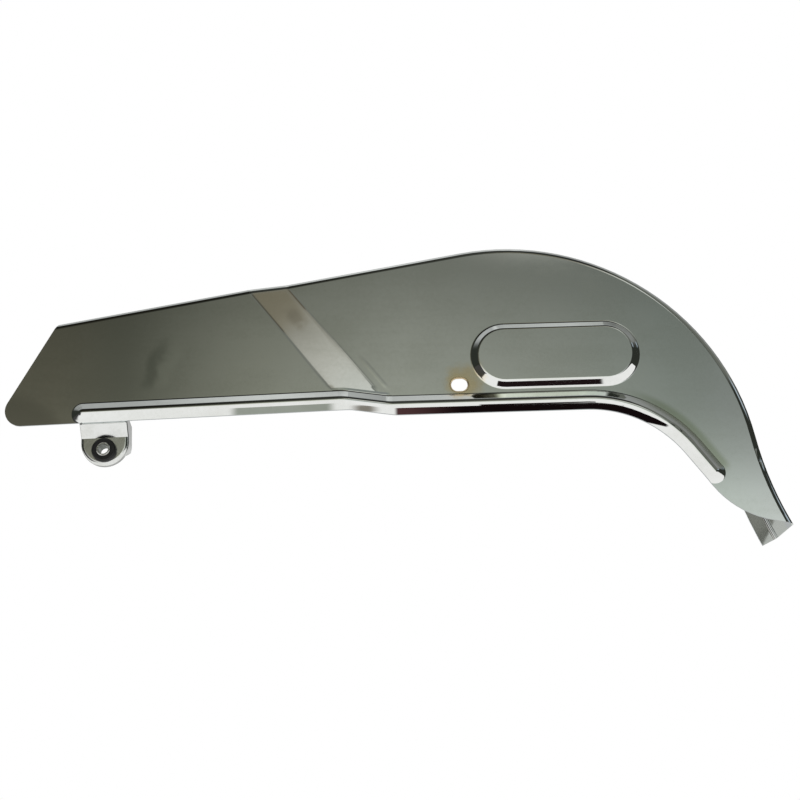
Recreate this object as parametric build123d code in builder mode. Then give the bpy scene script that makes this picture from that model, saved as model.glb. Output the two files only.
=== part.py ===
from build123d import *
from math import atan2, cos, degrees, radians, sin, tan
import os

# Upper chain guard: a pressed sheet shell, a welded front bracket, a rubber grommet and its steel collar.
# The origin is the middle of the collar's bore. +X runs rearwards, +Z up, and the outer face looks to -Y.

# Sheet and section of the guard shell
sheet = 1.2
channel_width = 45.0        # rear panel's outer face to the lip's outer face
panel_out = 3.8             # rear panel's outer face, out from the middle of the bracket's tab
bend_inside = 3.3           # bend between the panel and the top wall
lip_bend_inside = 2.0       # bend between the top wall and the lip
lip_height = 11.5           # top wall's outer face to the lip's free edge

# Top wall: a straight run, a wrap round the rear sprocket, then a flared tail
wall_start_x = -34.1
wall_start_z = 85.3
top_rise = 11.3             # degrees
top_length = 270.4
wrap_radius = 160.9
wrap_turn = 90.8            # degrees
flare_radius = 214.4
flare_turn = 16.5           # degrees

# Front and lower edges of the panels
front_lean = 27.7           # degrees from upright
front_corner_radius = 10.5
front_edge_z = 17.3         # lower edge of the front panel, above the bore
front_edge_rise = 3.0       # degrees
rear_edge_z = 17.2          # lower edge of the rear panel, carried on to stand above the bore
rear_edge_rise = 1.8        # degrees
inner_corner_x = 350.6      # where the lower edge turns down round the sprocket
inner_turn = 54.3           # degrees
inner_radius = 75.0
tail_corner_x = 404.6       # where the lower edge turns off to the tail
tail_radius = 58.0

# Ramp between the panels: the front panel stands further out than the rear one
joggle_depth = 4.0
ramp_x = 121.9              # a point of the front crease
ramp_z = 70.0
ramp_lean = 39.5            # degrees from upright
ramp_width = 21.4
ramp_radius = 14.0
edge_step_radius = 30.0     # softens the lower edge and the bead where they cross the ramp

# Bead pressed along the lower edge
press_slope = 38.0          # degrees, flank of the bead and of the oblong
foot_radius = 2.2           # hollow at the foot of each flank
bead_half = 7.0
bead_trim = 0.9             # the sheet's edge cuts this much off the bead's lower foot
bead_crest_inside = 2.8
bead_start_x = -13.8
bead_end_x = 391.6

# Oblong raised on the rear panel, and the fixing slot beside it
oblong_x = 293.6
oblong_length = 110.2
oblong_width = 44.3
oblong_depth = 3.2
oblong_gap = 3.1            # between the feet of the bead and the oblong
brow_inside = 1.2           # round at the oblong's brow
slot_x = 230.0
slot_length = 10.7
slot_width = 8.4
slot_gap = 2.2              # between the bead's foot and the slot
slot_chamfer = 0.7          # on the slot's outer edge

# Front bracket
bracket_sheet = 1.6
bracket_half = 15.4
rim_radius = 2.2            # outside of the bend at its turned-back rim, square inside
crease_z = 8.6              # lower fold
knee_depth = 0.8            # upper fold, below the panel's edge
flange_height = 29.0        # welded flange, above the panel's edge
rim_depth = 5.2             # tab's front face to the back edge of the rim round the tab's end
wall_depth = 13.0           # tab's front face to the back edge of the side walls
wall_low_z = -3.0           # where the rim starts to deepen into the side walls
wall_full_z = 1.0           # where the side walls reach their full depth
wall_rise = 1.5             # full depth of the side walls, above the panel's edge
gusset_rise = 5.5           # where the side walls end on the flange, above the panel's edge

# Grommet and collar
tab_hole_radius = 6.0
grommet_radius = 7.8
grommet_thickness = 9.0
grommet_bevel = 1.0
bore_radius = 3.25
collar_wall = 1.15
collar_length = 11.0
collar_chamfer = 0.4
seat_clearance = 0.05
rim_gap = 0.25              # between the grommet and the rim inside the tab's end

# Levels, headings and room for cutters, worked out from the sizes above
rear_y = -panel_out
front_y = rear_y - joggle_depth
far_y = rear_y + channel_width
ramp_angle = degrees(atan2(joggle_depth, ramp_width))
front_heading = 90 - front_lean
wrap_heading = top_rise - wrap_turn
tail_heading = wrap_heading + flare_turn
down_heading = rear_edge_rise - inner_turn
press_half_tan = tan(radians(press_slope / 2))
bead_rise = bead_half - bead_trim
bead_top = bead_half + bead_rise
foot_sink = sheet / 40
collar_radius = bore_radius + collar_wall
tab_centre_z = bracket_half - bracket_sheet - rim_gap - grommet_radius
margin = channel_width
reach = 2 * (top_length + wrap_radius)


def step(point, heading, distance):
    return (point[0] + distance * cos(radians(heading)), point[1] + distance * sin(radians(heading)))


def arc_end(point, heading, radius, turn):
    return step(point, heading + turn / 2, 2 * radius * sin(radians(abs(turn) / 2)))


def meet(point_a, heading_a, point_b, heading_b):
    """Where two lines cross, each given by a point and a heading."""
    across = sin(radians(heading_b)) * (point_b[0] - point_a[0])
    along = cos(radians(heading_b)) * (point_b[1] - point_a[1])
    return step(point_a, heading_a, (across - along) / sin(radians(heading_b - heading_a)))


# Corners of the side view
wall_start = (wall_start_x, wall_start_z)
wall_end = step(wall_start, top_rise, top_length)
wall_end = arc_end(wall_end, top_rise, wrap_radius, -wrap_turn)
wall_end = arc_end(wall_end, wrap_heading, flare_radius, flare_turn)
rear_edge = (0, rear_edge_z)
turn_down = meet(rear_edge, rear_edge_rise, (inner_corner_x, 0), 90)


def over_rear_edge(x, rise):
    """Point at a height over the rear panel's lower edge."""
    return step(meet(rear_edge, rear_edge_rise, (x, 0), 90), rear_edge_rise + 90, rise)


def edge_corners(rise, inset=0.0):
    """Corners of a line at a height over the lower edge: two at the ramp, one at the turn down."""
    front = step((0, front_edge_z), front_edge_rise + 90, rise)
    rear = step(rear_edge, rear_edge_rise + 90, rise)
    down = step(turn_down, down_heading + 90, rise)
    shift = inset * tan(radians(ramp_angle / 2))
    front_crease = step((ramp_x, ramp_z), ramp_lean, -shift)
    rear_crease = step((ramp_x, ramp_z), ramp_lean, ramp_width - shift)
    ramp_front = meet(front, front_edge_rise, front_crease, ramp_lean + 90)
    ramp_rear = meet(rear, rear_edge_rise, rear_crease, ramp_lean + 90)
    return ramp_front, ramp_rear, meet(rear, rear_edge_rise, down, down_heading)


def outward_faces(form, square=0.01):
    """Faces that look to -Y."""
    return form.faces().filter_by(lambda face: face.normal_at().Y < -square)


def side_faces(form, direction, square=0.01):
    """Faces that stand square to XZ and look towards a direction."""
    standing = form.faces().filter_by(lambda face: abs(face.normal_at().Y) < square)
    return standing.filter_by(lambda face: face.normal_at().dot(direction) > square)


def channel_region(inset):
    """Side view of all that lies inside the top wall, well past the edges that are trimmed later."""
    room = 2 * margin if inset else margin
    with BuildSketch() as region:
        with BuildLine():
            start = step(step(wall_start, top_rise - 90, inset), top_rise, -room)
            run = PolarLine(start, top_length + room, top_rise)
            wrap = JernArc(run @ 1, run % 1, wrap_radius - inset, -wrap_turn)
            flare = JernArc(wrap @ 1, wrap % 1, flare_radius + inset, flare_turn)
            tail = PolarLine(flare @ 1, room, direction=flare % 1)
            Polyline(tail @ 1, ((run @ 0).X, (tail @ 1).Y), run @ 0)
        make_face()
    return region.sketch


def bead_section(inset):
    """Ridge with hollow feet and a round crest, across the bead."""
    foot = foot_radius + inset
    half = bead_half - inset * press_half_tan
    apex = half * tan(radians(press_slope)) - foot_sink
    wide = half + foot
    with BuildSketch() as section:
        with BuildLine():
            ridge = FilletPolyline(
                (-wide, -foot_sink),
                (-half, -foot_sink),
                (0, apex),
                (half, -foot_sink),
                (wide, -foot_sink),
                radius=[foot, bead_crest_inside + sheet - inset, foot],
            )
            Polyline(ridge @ 1, (wide, -sheet), (-wide, -sheet), ridge @ 0)
        make_face()
    return section.sketch


def pressed_form(inset):
    """Solid inside the sheet's outer face, or inside its inner face when inset by the sheet."""
    with BuildPart() as form:
        with BuildSketch(Plane.XZ.offset(inset - far_y)):
            add(channel_region(inset))
        extrude(amount=channel_width + joggle_depth + margin)

        # Front panel, ramp and rear panel
        lean = radians(ramp_lean)
        across_ramp = Plane(
            (ramp_x, 0, ramp_z), x_dir=(cos(lean), 0, sin(lean)), z_dir=(-sin(lean), 0, cos(lean))
        )
        shift = inset * tan(radians(ramp_angle / 2))
        with BuildSketch(across_ramp):
            with BuildLine():
                panels = FilletPolyline(
                    (-reach, front_y + inset),
                    (-shift, front_y + inset),
                    (ramp_width - shift, rear_y + inset),
                    (reach, rear_y + inset),
                    radius=[ramp_radius - inset, ramp_radius + inset],
                )
                Polyline(panels @ 1, (reach, far_y + margin), (-reach, far_y + margin), panels @ 0)
            make_face()
        extrude(amount=reach, both=True, mode=Mode.INTERSECT)

        # Bends along the top wall, rounded from the front to the tail
        top_edges = side_faces(form, Vector(0, 0, 1)).edges()
        panel_edges = top_edges & outward_faces(form).edges()
        fillet(panel_edges.sort_by(Axis.X), bend_inside + sheet - inset)
        top_edges = side_faces(form, Vector(0, 0, 1)).edges()
        lip_edges = top_edges & form.faces().sort_by(Axis.Y)[-1].edges()
        fillet(lip_edges.sort_by(Axis.X), lip_bend_inside + sheet - inset)

        # Raised oblong
        narrowing = 2 * inset * press_half_tan
        oblong_centre = over_rear_edge(oblong_x, bead_top + oblong_gap + oblong_width / 2)
        with BuildSketch(Plane.XZ.offset(panel_out - inset)):
            with Locations(oblong_centre):
                SlotOverall(oblong_length - narrowing, oblong_width - narrowing, rotation=rear_edge_rise)
        extrude(amount=oblong_depth, taper=90 - press_slope)
        fillet(form.edges(Select.LAST).group_by(Axis.Y)[-1], foot_radius + inset)
        brow = (oblong_centre[0], rear_y + inset - oblong_depth, oblong_centre[1])
        fillet(form.faces().sort_by_distance(brow)[0].edges(), brow_inside + sheet - inset)

        # Bead, with a round end like half a cone at each end of its line
        ramp_front, ramp_rear, inner_corner = edge_corners(bead_rise, inset)
        start = meet(ramp_front, front_edge_rise, (bead_start_x, 0), 90)
        end = meet(inner_corner, down_heading, (bead_end_x, 0), 90)
        with BuildLine() as bead_line:
            FilletPolyline(
                (start[0], front_y + inset, start[1]),
                (ramp_front[0], front_y + inset, ramp_front[1]),
                (ramp_rear[0], rear_y + inset, ramp_rear[1]),
                (inner_corner[0], rear_y + inset, inner_corner[1]),
                (end[0], rear_y + inset, end[1]),
                radius=[edge_step_radius, edge_step_radius, inner_radius + bead_rise],
            )
        path = bead_line.wire()
        ends = []
        for place, heading in ((0, front_edge_rise), (1, down_heading)):
            up = (-sin(radians(heading)), 0, cos(radians(heading)))
            ends.append(Plane(path @ place, x_dir=up, z_dir=path % place))
        with BuildSketch(ends[0]):
            add(bead_section(inset))
        sweep(path=path)
        for plane, turn in zip(ends, (180, -180)):
            with BuildSketch(plane):
                add(bead_section(inset))
                Rectangle(reach, reach, align=(Align.MAX, Align.CENTER), mode=Mode.SUBTRACT)
            revolve(axis=Axis(plane.origin, (0, -1, 0)), revolution_arc=turn)
    return form.part


def bracket_form(inset, back):
    """Solid inside the bracket's outer face, or inside its inner face when inset by its sheet."""
    flange_y = front_y + sheet
    tab_y = -bracket_sheet / 2
    knee_z = front_edge_z - knee_depth
    lift = inset * tan(atan2(tab_y - flange_y, knee_z - crease_z) / 2)
    half = bracket_half - inset
    top = front_edge_z + flange_height + inset
    tip = tab_centre_z - bracket_half - inset
    with BuildPart() as form:
        with BuildSketch(Plane.YZ):
            with BuildLine():
                Polyline(
                    (flange_y + inset, top),
                    (flange_y + inset, knee_z + lift),
                    (tab_y + inset, crease_z + lift),
                    (tab_y + inset, tip),
                    (back, tip),
                    (back, top),
                    close=True,
                )
            make_face()
        extrude(amount=bracket_half, both=True)
        with BuildSketch(Plane.XZ):
            with Locations((0, tab_centre_z)):
                Circle(half)
                Rectangle(2 * half, top - tab_centre_z, align=(Align.CENTER, Align.MIN))
        extrude(amount=back + margin, both=True, mode=Mode.INTERSECT)

        # Bend all round the rim, but not along the flange's top, and square on the inner form
        side_edges = [side_faces(form, Vector(x, 0, z)).edges() for x, z in ((1, 0), (-1, 0), (0, -1))]
        rim_edges = side_edges[0] + side_edges[1] + side_edges[2]
        if inset == 0:
            fillet(rim_edges & outward_faces(form).edges(), rim_radius)
    return form.part


os.makedirs("parts", exist_ok=True)

# Guard shell: the outer form less the inner form, then its free edges
with BuildPart() as guard_shell:
    add(pressed_form(0))
    add(pressed_form(sheet), mode=Mode.SUBTRACT)

    # Lip: the inner wall ends a little way below the top wall
    with BuildSketch(Plane.XZ.offset(-far_y - sheet)):
        add(channel_region(lip_height))
    extrude(amount=3 * sheet, mode=Mode.SUBTRACT)

    # Ends of the channel
    rearwards = (cos(radians(front_lean)), 0, -sin(radians(front_lean)))
    front_end = Plane((wall_start[0], 0, wall_start[1]), x_dir=(0, 1, 0), z_dir=rearwards)
    split(bisect_by=front_end, keep=Keep.TOP)
    tailwards = (cos(radians(tail_heading)), 0, sin(radians(tail_heading)))
    tail_end = Plane((wall_end[0], 0, wall_end[1]), x_dir=(0, 1, 0), z_dir=tailwards)
    split(bisect_by=tail_end, keep=Keep.BOTTOM)

    # Front and lower edges of the panels, out to the corner of the tail
    ramp_front, ramp_rear, inner_corner = edge_corners(0)
    front_corner = meet(wall_start, front_heading, ramp_front, front_edge_rise)
    tail_corner = meet(inner_corner, down_heading, (tail_corner_x, 0), 90)
    past_tail = degrees(atan2(wall_end[1] - tail_corner[1], wall_end[0] - tail_corner[0]))
    with BuildSketch(Plane.XZ.offset(panel_out - bend_inside)):
        with BuildLine():
            edge = FilletPolyline(
                step(wall_start, front_heading, margin),
                front_corner,
                ramp_front,
                ramp_rear,
                inner_corner,
                tail_corner,
                step(wall_end, past_tail, margin),
                radius=[front_corner_radius, edge_step_radius, edge_step_radius, inner_radius, tail_radius],
            )
            Polyline(edge @ 1, ((edge @ 1).X, -reach), (-reach, -reach), (-reach, (edge @ 0).Y), edge @ 0)
        make_face()
    extrude(amount=joggle_depth + margin, mode=Mode.SUBTRACT)

    # Rear fixing slot
    with BuildSketch(Plane.XZ.offset(panel_out + sheet)):
        with Locations(over_rear_edge(slot_x, bead_top + slot_gap + slot_width / 2)):
            SlotOverall(slot_length, slot_width, rotation=rear_edge_rise)
    extrude(amount=-3 * sheet, mode=Mode.SUBTRACT)
    chamfer(guard_shell.edges(Select.LAST).group_by(Axis.Y)[0], slot_chamfer)

guard_shell.part.label = "guard_shell"
export_step(guard_shell.part, "parts/guard_shell.step")

# Front bracket: welded flange, sloping step and a tab, with a turned-back rim and deeper side walls
rim_back = rim_depth - bracket_sheet / 2
wall_back = wall_depth - bracket_sheet / 2
flange_back = front_y + sheet + bracket_sheet
flange_top = front_edge_z + flange_height
with BuildPart() as bracket_blank:
    add(bracket_form(0, wall_back))
    add(bracket_form(bracket_sheet, wall_back + margin), mode=Mode.SUBTRACT)

    # Back edge of the rim and the side walls, which taper into the flange
    with BuildSketch(Plane.YZ):
        with BuildLine():
            Polyline(
                (rim_back, tab_centre_z - bracket_half - sheet),
                (rim_back, wall_low_z),
                (wall_back, wall_full_z),
                (wall_back, front_edge_z + wall_rise),
                (flange_back, front_edge_z + gusset_rise),
                (flange_back, flange_top + sheet),
                (wall_back + sheet, flange_top + sheet),
                (wall_back + sheet, tab_centre_z - bracket_half - sheet),
                close=True,
            )
        make_face()
    extrude(amount=bracket_half, both=True, mode=Mode.SUBTRACT)

    # Grommet hole
    with BuildSketch(Plane.XZ):
        Circle(tab_hole_radius)
    extrude(amount=bracket_sheet, both=True, mode=Mode.SUBTRACT)

# The bracket is turned about its hole, so that its folds run along the panel's lower edge
with BuildPart() as front_bracket:
    add(bracket_blank.part, rotation=(0, -front_edge_rise, 0))

front_bracket.part.label = "front_bracket"
export_step(front_bracket.part, "parts/front_bracket.step")

# Rubber grommet, grooved over the tab's sheet
with BuildPart() as rubber_grommet:
    with BuildSketch(Plane.XY):
        with Locations((collar_radius + seat_clearance, 0)):
            ring_wall = grommet_radius - collar_radius - seat_clearance
            ring = Rectangle(ring_wall, grommet_thickness, align=(Align.MIN, Align.CENTER))
        chamfer(ring.vertices().group_by(Axis.X)[-1], grommet_bevel)
        with Locations((tab_hole_radius - seat_clearance, 0)):
            groove = bracket_sheet + 2 * seat_clearance
            Rectangle(grommet_radius, groove, align=(Align.MIN, Align.CENTER), mode=Mode.SUBTRACT)
    revolve(axis=Axis.Y)

rubber_grommet.part.label = "rubber_grommet"
export_step(rubber_grommet.part, "parts/rubber_grommet.step")

# Steel collar inside the grommet
with BuildPart() as grommet_collar:
    with BuildSketch(Plane.XZ):
        Circle(collar_radius)
        Circle(bore_radius, mode=Mode.SUBTRACT)
    extrude(amount=collar_length / 2, both=True)
    rims = grommet_collar.edges().filter_by(GeomType.CIRCLE).sort_by(SortBy.LENGTH)
    chamfer(rims[-2:], collar_chamfer)

grommet_collar.part.label = "grommet_collar"
export_step(grommet_collar.part, "parts/grommet_collar.step")
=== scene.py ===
from math import cos, radians, sin
import bpy
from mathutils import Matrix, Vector

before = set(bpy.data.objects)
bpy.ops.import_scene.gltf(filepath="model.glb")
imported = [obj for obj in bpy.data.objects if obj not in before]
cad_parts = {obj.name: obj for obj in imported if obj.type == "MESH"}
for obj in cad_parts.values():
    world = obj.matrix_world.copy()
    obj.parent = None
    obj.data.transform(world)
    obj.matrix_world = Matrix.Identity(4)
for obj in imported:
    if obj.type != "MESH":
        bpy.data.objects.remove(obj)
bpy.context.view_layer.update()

print("frame loaded")

# camera: below the guard, looking up at its outer face
cameraSet = {
    "aim": (0.19065, -0.0038, 0.03335),
    "rise": 17.7,          # degrees it looks up
    "distance": 0.93,
    "lens": 64.4,
    "sensor": 36.0,
    "clipStart": 0.01,
}


def addCamera(s):
    camData = bpy.data.cameras.new("photoCamera")
    camData.lens = s["lens"]
    camData.sensor_width = s["sensor"]
    camData.clip_start = s["clipStart"]
    cam = bpy.data.objects.new("photoCamera", camData)
    bpy.context.scene.collection.objects.link(cam)
    ahead = Vector((0.0, cos(radians(s["rise"])), sin(radians(s["rise"]))))
    cam.location = Vector(s["aim"]) - ahead * s["distance"]
    cam.rotation_euler = (radians(90.0 + s["rise"]), 0.0, 0.0)
    bpy.context.scene.camera = cam


addCamera(cameraSet)
bpy.context.scene.view_settings.view_transform = "Standard"
print("camera placed")


# node helpers
def addNode(tree, kind, **sockets):
    node = tree.nodes.new(kind)
    for name, value in sockets.items():
        node.inputs[name].default_value = value
    return node


def link(tree, value, socket):
    if isinstance(value, (int, float, tuple)):
        socket.default_value = value
    else:
        tree.links.new(value, socket)


def placeNode(tree, kind="Object"):
    return tree.nodes.new("ShaderNodeTexCoord").outputs[kind]


def splitNode(tree, vector):
    parts = tree.nodes.new("ShaderNodeSeparateXYZ")
    tree.links.new(vector, parts.inputs[0])
    return [parts.outputs[axis] for axis in "XYZ"]


def mathNode(tree, operation, *values):
    node = tree.nodes.new("ShaderNodeMath")
    node.operation = operation
    for value, socket in zip(values, node.inputs):
        link(tree, value, socket)
    return node.outputs[0]


def allOf(tree, *shares):
    total = shares[0]
    for share in shares[1:]:
        total = mathNode(tree, "MULTIPLY", total, share)
    return total


def weigh(tree, values, weights, start=0.0):
    total = start
    for value, weight in zip(values, weights):
        total = mathNode(tree, "ADD", mathNode(tree, "MULTIPLY", value, weight), total)
    return total


def lengthNode(tree, *arms):
    return mathNode(tree, "SQRT", weigh(tree, arms, arms))


def rangeNode(tree, value, low, high, toLow=0.0, toHigh=1.0, smooth=True):
    node = tree.nodes.new("ShaderNodeMapRange")
    node.interpolation_type = "SMOOTHSTEP" if smooth else "LINEAR"
    tree.links.new(value, node.inputs["Value"])
    node.inputs["From Min"].default_value = low
    node.inputs["From Max"].default_value = high
    node.inputs["To Min"].default_value = toLow
    node.inputs["To Max"].default_value = toHigh
    return node.outputs["Result"]


def fallNode(tree, value, low, high):
    return rangeNode(tree, value, low, high, 1.0, 0.0)


def between(tree, value, ends):
    low, lowFull, highFull, high = ends
    return allOf(tree, rangeNode(tree, value, low, lowFull), fallNode(tree, value, highFull, high))


def near(tree, value, middle, low, high):
    offset = mathNode(tree, "ABSOLUTE", mathNode(tree, "SUBTRACT", value, middle))
    return fallNode(tree, offset, low, high)


def mixColour(tree, factor, first, second, blend="MIX"):
    node = tree.nodes.new("ShaderNodeMix")
    node.data_type = "RGBA"
    node.blend_type = blend
    # a colour mix's factor, two colours and result are sockets 0, 6, 7 and 2
    for value, place in ((factor, 0), (first, 6), (second, 7)):
        link(tree, value, node.inputs[place])
    return node.outputs[2]


def rampNode(tree, value, stops):
    node = tree.nodes.new("ShaderNodeValToRGB")
    ramp = node.color_ramp
    while len(ramp.elements) < len(stops):
        ramp.elements.new(0.5)
    for element, (place, colour) in zip(ramp.elements, stops):
        element.position = place
        element.color = (*colour, 1.0)
    tree.links.new(value, node.inputs["Fac"])
    return node.outputs["Color"]


def straightShare(tree, light):
    return mathNode(tree, "MAXIMUM", light["Is Camera Ray"], light["Is Transmission Ray"])


# studio room: white to the camera, and what the plating mirrors by direction
roomSet = {
    "heights": [           # sine of the height, and how bright the wall before the guard is there
        (0.20, 0.95),
        (0.237, 0.72),
        (0.262, 0.47),
        (0.295, 0.33),
        (0.345, 0.255),
        (0.39, 0.17),
        (0.50, 0.15),
        (0.60, 0.04),
    ],
    "sides": [             # leftward to rightward, what that wall is multiplied by
        (-0.235, (0.34, 0.33, 0.245)),
        (-0.19, (0.30, 0.31, 0.24)),
        (-0.10, (0.76, 0.79, 0.65)),
        (0.00, (1.11, 1.17, 1.02)),
        (0.10, (0.97, 1.04, 0.92)),
        (0.19, (0.76, 0.86, 0.78)),
        (0.26, (0.76, 0.81, 0.79)),
    ],
    "sidesFade": (0.08, 0.20),         # heights where those tints come in over the floor
    "ceiling": [           # leftward to rightward, how bright the ceiling is
        (-0.22, 0.50),
        (-0.13, 0.80),
        (-0.06, 0.56),
        (0.10, 0.80),
        (0.15, 0.50),
        (0.20, 0.43),
        (0.60, 0.31),
    ],
    "ceilingColour": (0.97, 1.0, 1.0, 1.0),
    "ceilingEdge": (-0.24, -0.06),     # along Y, where the ceiling's light starts
    "ceilingFade": (0.45, 0.75),
    "backdrop": [          # heights behind the guard
        (-0.05, 0.95),
        (0.15, 0.80),
        (0.32, 0.45),
        (0.60, 0.40),
        (0.90, 0.60),
    ],
    "backdropEdge": (0.25, 0.60),      # along Y, where the backdrop starts
    "backdropRight": (0.30, 0.45),     # across X, where it ends
    "leftEdge": (-0.52, -0.36),        # across X, where the dark left side ends
    "rightEdge": (0.27, 0.37),         # across X, where the dark right side starts
    "rightFade": (-0.16, -0.10),       # heights where that side starts
    "dark": (0.030, 0.034, 0.028, 1.0),
    "corner": {            # darker oval in the panel's front corner
        "across": -0.265,
        "up": 0.268,
        "size": (0.037, 0.029),
        "edge": (0.85, 1.10),
        "level": 0.72,
    },
    "streak": {            # pale streak in the tail's bend
        "colour": (0.46, 0.54, 0.61, 1.0),
        "across": (0.60, 0.68),
        "from": (-0.50, -0.42),
        "to": (-0.14, 0.00),
        "heights": (0.44, 0.48, 0.58, 0.64),
    },
    "gleam": {             # grey part of the right side, above a slanted line
        "colour": (0.16, 0.17, 0.15, 1.0),
        "across": (0.33, 0.41),
        "slope": 0.45,
        "above": (0.19, 0.24),
    },
    "window": {            # pale opening that the ramp mirrors, darkening to brown along a slanted line
        "slant": 48.0,
        "colours": [
            (-0.330, (0.19, 0.18, 0.14)),
            (-0.308, (0.22, 0.21, 0.17)),
            (-0.290, (0.35, 0.345, 0.30)),
            (-0.260, (0.57, 0.57, 0.52)),
            (-0.240, (0.66, 0.68, 0.64)),
            (-0.220, (0.68, 0.70, 0.66)),
        ],
        "edge": (0.24, 0.34),
        "left": (0.02, 0.09),
        "right": (0.29, 0.33),
        "bottom": (0.388, 0.42),
        "top": (0.62, 0.66),
    },
}


def spread(value):
    return value * 0.5 + 0.5


def grey(level):
    return (level, level, level)


def addRoom(s):
    world = bpy.data.worlds.new("studioRoom")
    bpy.context.scene.world = world
    world.use_nodes = True
    tree = world.node_tree
    tree.nodes.clear()
    across, along, up = splitNode(tree, placeNode(tree, "Generated"))

    def over(low, high, value):
        return rangeNode(tree, value, low, high)

    def under(low, high, value):
        return fallNode(tree, value, low, high)

    def oval(spot):
        shares = []
        for value, middle, size in zip((across, up), (spot["across"], spot["up"]), spot["size"]):
            offset = mathNode(tree, "DIVIDE", mathNode(tree, "SUBTRACT", value, middle), size)
            shares.append(mathNode(tree, "MULTIPLY", offset, offset))
        return mathNode(tree, "ADD", *shares)

    def colours(value, stops):
        share = rangeNode(tree, value, -1.0, 1.0, smooth=False)
        return rampNode(tree, share, [(spread(at), colour) for at, colour in stops])

    def greys(value, stops):
        return colours(value, [(at, grey(level)) for at, level in stops])

    # wall before the guard: its height by its side, evened out near the floor
    tints = colours(across, s["sides"])
    sides = mixColour(tree, over(*s["sidesFade"], up), (1.0, 1.0, 1.0, 1.0), tints)
    room = mixColour(tree, 1.0, greys(up, s["heights"]), sides, "MULTIPLY")
    corner = s["corner"]
    darker = mixColour(tree, 1.0, room, (*grey(corner["level"]), 1.0), "MULTIPLY")
    room = mixColour(tree, under(*corner["edge"], oval(corner)), room, darker)

    # window, coloured along its slanted edge
    window = s["window"]
    slant = radians(window["slant"])
    onward = weigh(tree, (across, up), (sin(slant), cos(slant)))
    aside = weigh(tree, (across, up), (cos(slant), -sin(slant)))
    opening = allOf(
        tree,
        over(*window["edge"], onward),
        over(*window["left"], across),
        under(*window["right"], across),
        over(*window["bottom"], up),
        under(*window["top"], up),
    )
    room = mixColour(tree, opening, room, colours(aside, window["colours"]))

    # dark sides, with a pale streak and a grey part on the right
    sideShare = allOf(tree, over(*s["rightEdge"], across), over(*s["rightFade"], up))
    sideShare = mathNode(tree, "MAXIMUM", sideShare, under(*s["leftEdge"], across))
    room = mixColour(tree, sideShare, room, s["dark"])
    streak = s["streak"]
    band = allOf(
        tree,
        over(*streak["across"], across),
        over(*streak["from"], along),
        under(*streak["to"], along),
        between(tree, up, streak["heights"]),
    )
    room = mixColour(tree, band, room, streak["colour"])
    gleam = s["gleam"]
    higher = weigh(tree, (across,), (-gleam["slope"],), up)
    gleamShare = allOf(tree, over(*gleam["across"], across), over(*gleam["above"], higher))
    room = mixColour(tree, gleamShare, room, gleam["colour"])

    # ceiling overhead, and the backdrop behind, which stops short of the right side
    ceiling = mixColour(tree, 1.0, greys(across, s["ceiling"]), s["ceilingColour"], "MULTIPLY")
    overhead = allOf(tree, over(*s["ceilingEdge"], along), over(*s["ceilingFade"], up))
    room = mixColour(tree, overhead, room, ceiling)
    behind = allOf(tree, over(*s["backdropEdge"], along), under(*s["backdropRight"], across))
    room = mixColour(tree, behind, room, greys(up, s["backdrop"]))

    straight = straightShare(tree, tree.nodes.new("ShaderNodeLightPath").outputs)
    seen = mixColour(tree, straight, room, (1.0, 1.0, 1.0, 1.0))
    background = addNode(tree, "ShaderNodeBackground", Strength=1.0)
    tree.links.new(seen, background.inputs["Color"])
    output = tree.nodes.new("ShaderNodeOutputWorld")
    tree.links.new(background.outputs[0], output.inputs["Surface"])


addRoom(roomSet)


# helpers for the floor and the cards
def addPlane(name, size, place):
    bpy.ops.object.select_all(action="DESELECT")
    bpy.ops.mesh.primitive_plane_add(size=size, location=place)
    plane = bpy.context.object
    plane.name = name
    return plane


def stageFinish(name):
    finish = bpy.data.materials.new(name)
    finish.use_nodes = True
    finish.node_tree.nodes.clear()
    return finish, finish.node_tree


def blendShaders(tree, share, first, second):
    both = tree.nodes.new("ShaderNodeMixShader")
    tree.links.new(share, both.inputs["Fac"])
    tree.links.new(first.outputs[0], both.inputs[1])
    tree.links.new(second.outputs[0], both.inputs[2])
    output = tree.nodes.new("ShaderNodeOutputMaterial")
    tree.links.new(both.outputs[0], output.inputs["Surface"])


# pale floor: plain to the camera but for the shadow, and with its own levels in the plating
floorSet = {
    "middle": 0.19,        # along X, under the guard
    "height": -0.36,
    "size": 12.0,
    "colour": (0.9, 0.9, 0.89, 1.0),
    "shadow": 0.2,         # how much of the paint shows under the object
    "fade": (0.4, 2.0),    # squared distance where it turns into the plain background
    "far": (0.35, 0.95),   # along Y, where the floor behind falls off in the plating
    "farLevel": 0.45,
    "dark": {              # patch before the guard on the left, dark in the plating
        "across": (-0.65, -0.53),
        "along": (-0.32, -0.22),
        "slope": 1.6,      # keeps it out of the view straight ahead
        "slopeEdge": (-0.3, 0.0),
        "level": 0.06,
    },
}


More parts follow.
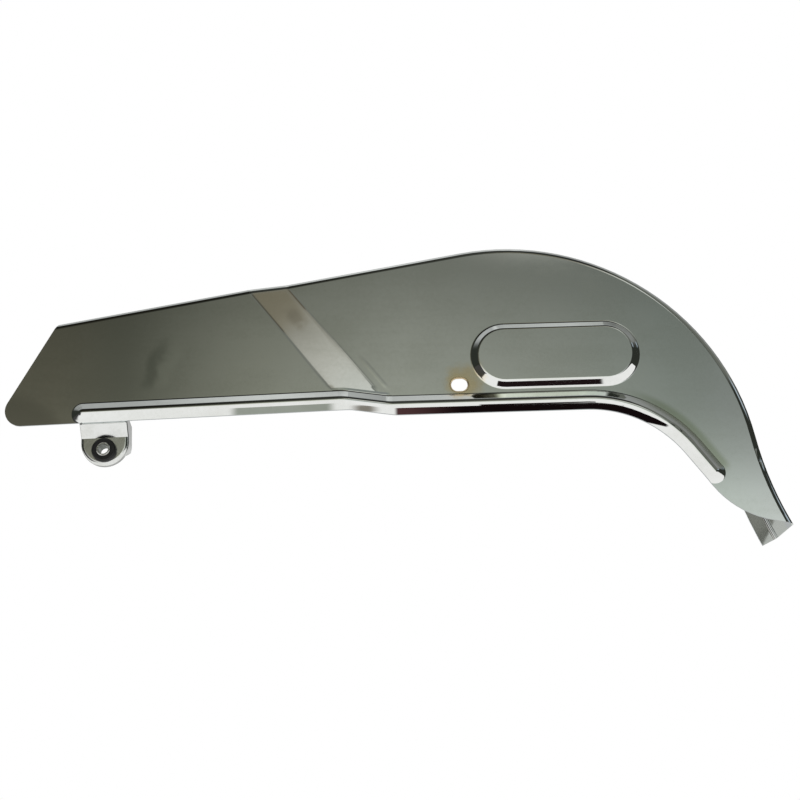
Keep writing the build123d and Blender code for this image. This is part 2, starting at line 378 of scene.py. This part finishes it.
def addFloor(s):
    floor = addPlane("studioFloor", s["size"], (s["middle"], 0.0, s["height"]))
    finish, tree = stageFinish("paleFloor")
    across, along = splitNode(tree, placeNode(tree))[:2]
    light = tree.nodes.new("ShaderNodeLightPath").outputs
    straight = straightShare(tree, light)
    dark = s["dark"]
    patch = allOf(
        tree,
        fallNode(tree, across, *dark["across"]),
        fallNode(tree, along, *dark["along"]),
        rangeNode(tree, weigh(tree, (across, along), (-dark["slope"], 1.0)), *dark["slopeEdge"]),
    )
    mirrored = allOf(
        tree,
        rangeNode(tree, along, *s["far"], 1.0, s["farLevel"]),
        rangeNode(tree, patch, 0.0, 1.0, 1.0, dark["level"]),
    )
    paint = addNode(tree, "ShaderNodeBsdfDiffuse", Color=s["colour"])
    glow = addNode(tree, "ShaderNodeEmission", Color=(1.0, 1.0, 1.0, 1.0))
    tree.links.new(mathNode(tree, "MAXIMUM", straight, mirrored), glow.inputs["Strength"])
    away = weigh(tree, (across, along), (across, along))
    plain = mathNode(tree, "MULTIPLY", straight, rangeNode(tree, away, *s["fade"], 1.0 - s["shadow"]))
    blendShaders(tree, mathNode(tree, "MAXIMUM", plain, light["Is Glossy Ray"]), paint, glow)
    floor.data.materials.append(finish)


addFloor(floorSet)

# small dark or grey studio cards close under the guard, mirrored only in the slopes within their reach
cardSet = {
    "flankCard": {
        "across": (0.187, 0.362),
        "along": (-0.0190, -0.0085),
        "height": 0.012,
        "reach": 0.027,
        "soft": (0.003, 0.0008),
        "colour": (0.007, 0.004, 0.0045, 1.0),
        "start": (0.085, 0.040, 0.042, 1.0),   # redder at its front end
        "startFade": (-1.0, -0.45),
    },
    "oblongCard": {
        "across": (0.243, 0.331),
        "along": (-0.0310, -0.0185),
        "height": 0.0122,
        "reach": 0.052,
        "soft": (0.003, 0.0008),
        "colour": (0.014, 0.008, 0.009, 1.0),
    },
    "frontCard": {
        "across": (0.078, 0.151),
        "along": (-0.0300, -0.0150),
        "height": 0.006,
        "reach": 0.042,
        "soft": (0.008, 0.004),
        "colour": (0.37, 0.395, 0.355, 1.0),
    },
    "rampCard": {
        "across": (0.158, 0.182),
        "along": (-0.0240, -0.0165),
        "height": 0.006,
        "reach": 0.042,
        "soft": (0.010, 0.002),
        "colour": (0.27, 0.25, 0.22, 1.0),
    },
}
reachStart = 0.9           # share of its reach where a card starts to fade


def addCard(name, s):
    sides = s["across"], s["along"]
    middle = [(low + high) / 2 for low, high in sides]
    half = [(high - low) / 2 for low, high in sides]
    card = addPlane(name, 2.0, (*middle, s["height"]))
    card.scale = (*half, 1.0)
    finish, tree = stageFinish(name)
    places = splitNode(tree, placeNode(tree))
    shares = []
    for place, size, soft in zip(places, half, s["soft"]):
        shares.append(fallNode(tree, mathNode(tree, "ABSOLUTE", place), 1.0 - soft / size, 1.0))
    rayLength = tree.nodes.new("ShaderNodeLightPath").outputs["Ray Length"]
    shares.append(fallNode(tree, rayLength, reachStart * s["reach"], s["reach"]))
    glow = addNode(tree, "ShaderNodeEmission", Color=s["colour"], Strength=1.0)
    if "start" in s:
        fade = rangeNode(tree, places[0], *s["startFade"])
        tree.links.new(mixColour(tree, fade, s["start"], s["colour"]), glow.inputs["Color"])
    clear = tree.nodes.new("ShaderNodeBsdfTransparent")
    blendShaders(tree, allOf(tree, *shares), clear, glow)
    card.data.materials.append(finish)
    card.visible_camera = False
    card.visible_diffuse = False
    card.visible_shadow = False


for cardName, cardShape in cardSet.items():
    addCard(cardName, cardShape)

# soft lamps, not mirrored in the plating; turns in degrees
lampSet = {
    "overhead": {
        "place": (0.1, -0.5, 0.9),
        "turn": (-25.0, 0.0, 0.0),
        "size": (1.4, 0.7),
        "power": 3.0,
    },
    "front": {
        "place": (-0.5, -1.3, 0.2),
        "turn": (80.0, 0.0, -25.0),
        "size": (0.6, 0.6),
        "power": 1.2,
    },
}


def addLamps(s):
    for name, lamp in s.items():
        data = bpy.data.lights.new(name, "AREA")
        data.shape = "RECTANGLE"
        data.size, data.size_y = lamp["size"]
        data.energy = lamp["power"]
        item = bpy.data.objects.new(name, data)
        item.location = lamp["place"]
        item.rotation_euler = [radians(angle) for angle in lamp["turn"]]
        item.visible_glossy = False
        bpy.context.scene.collection.objects.link(item)


addLamps(lampSet)
print("studio ready")


# helpers for the finishes
def newFinish(name, metallic):
    finish = bpy.data.materials.new(name)
    finish.use_nodes = True
    tree = finish.node_tree
    shader = tree.nodes["Principled BSDF"]
    shader.inputs["Metallic"].default_value = metallic
    return finish, tree, shader


def coat(tree, shader, colour, roughness):
    tree.links.new(colour, shader.inputs["Base Color"])
    tree.links.new(roughness, shader.inputs["Roughness"])


def addBump(tree, shader, height, distance):
    bump = addNode(tree, "ShaderNodeBump", Strength=1.0, Distance=distance)
    tree.links.new(height, bump.inputs["Height"])
    tree.links.new(bump.outputs["Normal"], shader.inputs["Normal"])


def hazyLook(tree, haze, s):
    colour = mixColour(tree, rangeNode(tree, haze, *s["hazeTone"]), s["colour"], s["haze"])
    return colour, rangeNode(tree, haze, *s["hazeDull"], *s["roughness"])


def noiseNode(tree, place, scale=1.0, detail=3.0, stretch=None):
    if stretch:
        turned = addNode(tree, "ShaderNodeMapping", Scale=stretch)
        tree.links.new(place, turned.inputs["Vector"])
        place = turned.outputs[0]
    noise = addNode(tree, "ShaderNodeTexNoise", Scale=scale, Detail=detail)
    tree.links.new(place, noise.inputs["Vector"])
    return noise.outputs["Fac"]


def raggedNode(tree, place, s):
    noise = noiseNode(tree, place, s["scale"], s["detail"])
    return mathNode(tree, "MULTIPLY", mathNode(tree, "SUBTRACT", noise, 0.5), s["reach"])


# plating on the pressed shell, places in metres
shellSet = {
    "colour": (0.80, 0.81, 0.79, 1.0),
    "haze": (0.73, 0.74, 0.71, 1.0),
    "cloud": {"scale": 22.0, "detail": 5.0},
    "grain": 420.0,
    "wipe": {"stretch": (18.0, 18.0, 130.0), "detail": 4.0},
    "hazeWeights": (0.55, 0.25, 0.20),     # of the cloud, the wipe marks and the grain
    "hazeTone": (0.40, 0.64),
    "hazeDull": (0.36, 0.66),
    "roughness": (0.035, 0.085),
    "wave": {"scale": 15.0, "detail": 1.0, "depth": 0.00006},
    "panel": (0.004, 0.008),               # along Y, where the outer panels end
    "inside": {
        "middle": (0.25, 0.018, -0.02),
        "flatten": (0.1, 1.0, 0.1),        # how much each axis counts
        "edge": (-0.003, 0.001),
        # paler painted light on the wall under the top, painted shade on the lip and behind the panels
        "wall": (0.85, 0.90, 0.90, 1.0),
        "lip": (0.48, 0.48, 0.45, 1.0),
        "roughness": 0.03,
    },
    "ramp": {
        "point": (0.1219, 0.0700),     # on the front crease
        "lean": 39.5,                  # degrees from upright
        "width": 0.0214,
        "frontEdge": (-0.001, 0.001),
        "rearEdge": (-0.004, 0.001),
        "angle": 0.185,
        "crisp": 0.0013,               # half of the crease that the sheet itself has
        "soft": 0.0030,                # half of it lower down, where it looks rounder
        "softEnds": (-0.030, 0.016),
        "softFoot": (0.0385, 0.0430),
        "topRise": 0.1998,             # the top wall's slope
        "topEnd": (0.0860, 0.0880),
        "brown": (0.75, 0.73, 0.65, 1.0),
        "brownEnds": (0.004, 0.022),
        # painted shade in thin lines along the creases
        "line": (0.30, 0.25, 0.19, 1.0),
        "creaseShadeStarts": ((0.009, 0.014), (0.014, 0.019)),
        "creaseShadeHalf": (0.0001, 0.0008),
        "lineShare": 0.7,
        "blotch": {
            "along": 0.0145,
            "across": 0.0125,
            "size": (0.0120, 0.0075),
            "core": 0.2,               # share of that size at full strength
            "noise": {"scale": 100.0, "detail": 2.0, "range": (0.34, 0.62)},
            "colour": (0.58, 0.56, 0.50, 1.0),
        },
        "ridge": {
            "across": 0.0285,
            "half": 0.0022,
            "ends": (-0.063, -0.056, -0.040, -0.030),
            "depth": 0.000045,
        },
    },
    "creaseShadeAndHighlight": {                         # upright wavy line on the front panel: painted shade beside a painted highlight, for a small press crease
        "foot": (0.0266, 0.0422),
        "slant": 0.30,
        "noise": {"scale": 70.0, "detail": 2.0, "reach": 0.018},
        "half": (0.0012, 0.0085),
        "ends": (0.036, 0.046, 0.060, 0.080),
        # painted shade of the crease, and its painted highlight beside it
        "dark": (0.57, 0.59, 0.56, 1.0),
        "highlightColour": (0.88, 0.90, 0.87, 1.0),
        "highlightShift": 0.0085,
        "highlightShare": 0.6,
    },
    "stain": {                         # gold-brown stain round the fixing slot
        "middle": (0.2294, 0.0439),
        "slotHalf": 0.00115,
        "slotRadius": 0.0042,
        "noise": {"scale": 190.0, "detail": 4.0, "reach": 0.011},
        "reach": (0.0008, 0.0105),
        "drift": (-0.24, -0.12),       # stronger rearwards and above
        "rim": (0.0002, 0.0022),
        "rimRagged": 0.25,
        "colour": (0.78, 0.66, 0.45, 1.0),
        "rimColour": (0.68, 0.55, 0.34, 1.0),
        "line": {
            "gap": 0.0009,
            "half": (0.0001, 0.0006),
            "share": 0.7,
            "colour": (0.34, 0.26, 0.15, 1.0),
        },
        "roughness": (0.05, 0.24),     # added by the stain, and by its rim
    },
    "footShade": {                          # painted olive shade and duller roughness in the bead's upper foot, where it turns down to the tail, standing in for a rounder foot
        "middle": (0.31452, -0.04795),  # of the turn of the lower edge
        "edge": 0.075,                 # that turn's radius
        "turn": (37.5, 91.8),          # its ends, in degrees
        "start": (56.0, 80.0),         # degrees where the film fades in
        "end": (0.019, 0.027),         # past the turn, where it fades out
        "tone": (0.0085, 0.0134, 0.0152, 0.0195),      # heights over the edge
        "dull": (0.0095, 0.0112, 0.0126, 0.0138),
        "colour": (0.54, 0.57, 0.47, 1.0),
        "roughness": 0.24,
    },
}


def insideShare(tree, parts, s):
    normal = splitNode(tree, tree.nodes.new("ShaderNodeNewGeometry").outputs["Normal"])
    arms = []
    for value, middle, share in zip(parts, s["middle"], s["flatten"]):
        arms.append(mathNode(tree, "MULTIPLY", mathNode(tree, "SUBTRACT", value, middle), share))
    inside = fallNode(tree, weigh(tree, arms, normal), *s["edge"])
    return inside, mathNode(tree, "ABSOLUTE", normal[1])


def awayFrom(tree, at, middle):
    return [mathNode(tree, "SUBTRACT", at[axis], value) for axis, value in zip("xz", middle)]


# across the ramp from its front crease, and up along it
def rampPlace(tree, x, z, s):
    lean = radians(s["lean"])
    px, pz = s["point"]
    across = weigh(tree, (x, z), (cos(lean), sin(lean)), -px * cos(lean) - pz * sin(lean))
    along = weigh(tree, (x, z), (-sin(lean), cos(lean)), px * sin(lean) - pz * cos(lean))
    return across, along


# brown at the ramp's top, a blotch, and thin lines of painted shade along the creases there
def rampMarks(tree, at, colour, s):
    across, along, panel = at["across"], at["along"], at["panel"]
    rearEdge = [s["width"] + edge for edge in s["rearEdge"]]
    onRamp = between(tree, across, (*s["frontEdge"], *rearEdge))
    topGap = weigh(tree, (at["x"], at["z"]), (-s["topRise"], 1.0))
    belowTop = fallNode(tree, topGap, *s["topEnd"])
    brown = allOf(tree, onRamp, rangeNode(tree, along, *s["brownEnds"]), belowTop, panel)
    colour = mixColour(tree, brown, colour, s["brown"])
    blotch = s["blotch"]
    long, broad = blotch["size"]
    patchy = blotch["noise"]
    blotchShare = allOf(
        tree,
        near(tree, along, blotch["along"], blotch["core"] * long, long),
        near(tree, across, blotch["across"], blotch["core"] * broad, broad),
        rangeNode(tree, noiseNode(tree, at["place"], patchy["scale"], patchy["detail"]), *patchy["range"]),
        panel,
    )
    colour = mixColour(tree, blotchShare, colour, blotch["colour"])
    # painted shade along each crease
    for middle, creaseShadeStart in zip((0.0, s["width"]), s["creaseShadeStarts"]):
        lineShare = allOf(
            tree,
            near(tree, across, middle, *s["creaseShadeHalf"]),
            rangeNode(tree, along, *creaseShadeStart),
            belowTop,
            panel,
            s["lineShare"],
        )
        colour = mixColour(tree, lineShare, colour, s["line"])
    return colour


# wavy line on the front panel: painted shade with a painted highlight beside it, for a small press crease
def creaseShadeAndHighlightMarks(tree, at, colour, s):
    footX, footZ = s["foot"]
    slant = s["slant"]
    wavy = raggedNode(tree, at["place"], s["noise"])
    offset = weigh(tree, (at["x"], at["z"], wavy), (1.0, -slant, 1.0), slant * footZ - footX)
    ends = allOf(tree, between(tree, at["z"], s["ends"]), at["panel"])
    shadeShare = allOf(tree, near(tree, offset, 0.0, *s["half"]), ends)
    highlightShare = allOf(tree, near(tree, offset, s["highlightShift"], *s["half"]), ends, s["highlightShare"])
    colour = mixColour(tree, shadeShare, colour, s["dark"])
    return mixColour(tree, highlightShare, colour, s["highlightColour"])


# stain round the slot, strongest at its rim
def stainMarks(tree, at, colour, roughness, s):
    panel = at["panel"]
    fromX, fromZ = awayFrom(tree, at, s["middle"])
    pastX = mathNode(tree, "SUBTRACT", mathNode(tree, "ABSOLUTE", fromX), s["slotHalf"])
    pastX = mathNode(tree, "MAXIMUM", pastX, 0.0)
    gap = mathNode(tree, "SUBTRACT", lengthNode(tree, pastX, fromZ), s["slotRadius"])
    ragged = raggedNode(tree, at["place"], s["noise"])
    drift = weigh(tree, (fromX, fromZ), s["drift"])
    wide = weigh(tree, (gap, ragged), (1.0, 1.0), drift)
    tight = weigh(tree, (ragged,), (s["rimRagged"],), gap)
    stainShare = allOf(tree, fallNode(tree, wide, *s["reach"]), panel)
    rimShare = allOf(tree, fallNode(tree, tight, *s["rim"]), panel)
    colour = mixColour(tree, stainShare, colour, s["colour"])
    colour = mixColour(tree, rimShare, colour, s["rimColour"])
    line = s["line"]
    lineShare = allOf(tree, near(tree, gap, line["gap"], *line["half"]), panel, line["share"])
    colour = mixColour(tree, lineShare, colour, line["colour"])
    return colour, weigh(tree, (stainShare, rimShare), s["roughness"], roughness)


# painted shade and duller roughness along the bead's foot, by the height over the turned edge
def footShadeMarks(tree, at, colour, roughness, s):
    arms = awayFrom(tree, at, s["middle"])
    turnEnd, turnStart = (radians(degrees) for degrees in s["turn"])
    angle = mathNode(tree, "ARCTAN2", arms[1], arms[0])
    held = mathNode(tree, "MINIMUM", mathNode(tree, "MAXIMUM", angle, turnEnd), turnStart)
    rise = weigh(tree, arms, (mathNode(tree, "COSINE", held), mathNode(tree, "SINE", held)), -s["edge"])
    past = weigh(tree, arms, (sin(turnEnd), -cos(turnEnd)))
    shadedSpan = allOf(
        tree,
        fallNode(tree, angle, *(radians(degrees) for degrees in s["start"])),
        fallNode(tree, past, *s["end"]),
        at["panel"],
    )
    toneShare, dullShare = (allOf(tree, between(tree, rise, s[part]), shadedSpan) for part in ("tone", "dull"))
    colour = mixColour(tree, toneShare, colour, s["colour"])
    return colour, weigh(tree, (dullShare,), (s["roughness"],), roughness)


def creaseRound(tree, across, middle, half, crisp):
    offset = mathNode(tree, "ABSOLUTE", mathNode(tree, "SUBTRACT", across, middle))
    parts = []
    for size in (half, crisp):
        left = mathNode(tree, "MAXIMUM", mathNode(tree, "SUBTRACT", size, offset), 0.0)
        parts.append(mathNode(tree, "DIVIDE", mathNode(tree, "MULTIPLY", left, left), size))
    return mathNode(tree, "SUBTRACT", *parts)


# slight waves of the pressing, creases that soften downwards, and a faint ridge beside the ramp
def pressedHeight(tree, at, wave, ramp):
    across, along, panel = at["across"], at["along"], at["panel"]
    waves = noiseNode(tree, at["place"], wave["scale"], wave["detail"])
    height = mathNode(tree, "MULTIPLY", waves, wave["depth"])
    softness = rangeNode(tree, along, *ramp["softEnds"], ramp["soft"], ramp["crisp"])
    pressed = allOf(tree, rangeNode(tree, at["z"], *ramp["softFoot"]), panel)
    quarter = ramp["angle"] / 4
    for middle, bend in ((0.0, -quarter), (ramp["width"], quarter)):
        rounded = creaseRound(tree, across, middle, softness, ramp["crisp"])
        height = weigh(tree, (allOf(tree, rounded, pressed),), (bend,), height)
    ridge = ramp["ridge"]
    ridgeShare = allOf(
        tree,
        near(tree, across, ridge["across"], 0.0, ridge["half"]),
        between(tree, along, ridge["ends"]),
        panel,
    )
    return weigh(tree, (ridgeShare,), (ridge["depth"],), height)


def shellFinish(s):
    finish, tree, shader = newFinish("brightPlating", 1.0)
    place = placeNode(tree)
    x, y, z = splitNode(tree, place)
    inside, sideways = insideShare(tree, (x, y, z), s["inside"])
    outside = mathNode(tree, "SUBTRACT", 1.0, inside)
    panel = allOf(tree, outside, fallNode(tree, y, *s["panel"]))
    across, along = rampPlace(tree, x, z, s["ramp"])
    at = {"place": place, "x": x, "z": z, "across": across, "along": along, "panel": panel}

    # hazy plating with wipe marks and a fine grain
    cloud = noiseNode(tree, place, **s["cloud"])
    wipe = noiseNode(tree, place, **s["wipe"])
    grain = noiseNode(tree, place, s["grain"])
    colour, roughness = hazyLook(tree, weigh(tree, (cloud, wipe, grain), s["hazeWeights"]), s)

    # marks on the outer panels
    colour = rampMarks(tree, at, colour, s["ramp"])
    # painted shade and painted highlight of a small crease on the front panel
    colour = creaseShadeAndHighlightMarks(tree, at, colour, s["creaseShadeAndHighlight"])
    colour, roughness = stainMarks(tree, at, colour, roughness, s["stain"])
    # painted shade along the bead's foot on the rear arc
    colour, roughness = footShadeMarks(tree, at, colour, roughness, s["footShade"])

    # inner side: lit and shaded copies of the plating by facing, paler under the top wall, painted shade
    # darkening the lip and the inside behind the panels
    inner = s["inside"]
    innerLitAndShaded = mixColour(tree, sideways, inner["wall"], inner["lip"])
    colour = mixColour(tree, inside, colour, innerLitAndShaded)
    roughness = weigh(tree, (inside,), (inner["roughness"],), roughness)
    coat(tree, shader, colour, roughness)
    height = pressedHeight(tree, at, s["wave"], s["ramp"])
    addBump(tree, shader, allOf(tree, height, outside), 1.0)
    return finish


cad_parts["guard_shell"].material_slots[0].material = shellFinish(shellSet)
print("shell plated")

# duller plating on the bracket
bracketSet = {
    "colour": (0.77, 0.78, 0.76, 1.0),
    "haze": (0.72, 0.73, 0.70, 1.0),
    "cloud": {"scale": 90.0, "detail": 5.0},
    "grain": 700.0,
    "hazeWeights": (0.75, 0.25),           # of the cloud and the grain
    "hazeTone": (0.40, 0.62),
    "hazeDull": (0.35, 0.65),
    "roughness": (0.15, 0.23),
    "wave": {"scale": 60.0, "detail": 1.0, "depth": 0.00003},
}


def bracketFinish(s):
    finish, tree, shader = newFinish("bracketPlating", 1.0)
    place = placeNode(tree)
    cloud = noiseNode(tree, place, **s["cloud"])
    grain = noiseNode(tree, place, s["grain"])
    coat(tree, shader, *hazyLook(tree, weigh(tree, (cloud, grain), s["hazeWeights"]), s))
    wave = s["wave"]
    addBump(tree, shader, noiseNode(tree, place, wave["scale"], wave["detail"]), wave["depth"])
    return finish


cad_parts["front_bracket"].material_slots[0].material = bracketFinish(bracketSet)
print("bracket plated")

# black rubber, greyer and rougher in its grain
rubberSet = {
    "colour": (0.012, 0.012, 0.012, 1.0),
    "haze": (0.035, 0.034, 0.032, 1.0),
    "grain": 900.0,
    "hazeTone": (0.45, 0.75),
    "hazeDull": (0.3, 0.7),
    "roughness": (0.50, 0.72),
    "depth": 0.00003,
}


def rubberFinish(s):
    finish, tree, shader = newFinish("blackRubber", 0.0)
    grain = noiseNode(tree, placeNode(tree), s["grain"])
    coat(tree, shader, *hazyLook(tree, grain, s))
    addBump(tree, shader, grain, s["depth"])
    return finish


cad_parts["rubber_grommet"].material_slots[0].material = rubberFinish(rubberSet)

# turned steel, with painted shade darkening the bore
collarSet = {
    "colour": (0.66, 0.66, 0.64, 1.0),
    "haze": (0.42, 0.41, 0.38, 1.0),
    # painted shade inside the bore
    "bore": {"colour": (0.20, 0.22, 0.19, 1.0), "radius": (0.00335, 0.0037)},
    "cloud": 420.0,
    "hazeTone": (0.45, 0.70),
    "hazeDull": (0.3, 0.7),
    "roughness": (0.20, 0.36),
    "rings": 260.0,
    "depth": 0.000012,
}


def collarFinish(s):
    finish, tree, shader = newFinish("turnedSteel", 1.0)
    place = placeNode(tree)
    x, z = splitNode(tree, place)[::2]
    colour, roughness = hazyLook(tree, noiseNode(tree, place, s["cloud"]), s)
    bore = s["bore"]
    boreShade = fallNode(tree, lengthNode(tree, x, z), *bore["radius"])
    coat(tree, shader, mixColour(tree, boreShade, colour, bore["colour"]), roughness)
    rings = addNode(tree, "ShaderNodeTexWave", Scale=s["rings"], Distortion=0.0)
    rings.wave_type = "RINGS"
    rings.rings_direction = "Y"
    tree.links.new(place, rings.inputs["Vector"])
    addBump(tree, shader, rings.outputs["Fac"], s["depth"])
    return finish


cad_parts["grommet_collar"].material_slots[0].material = collarFinish(collarSet)
print("small pieces done")
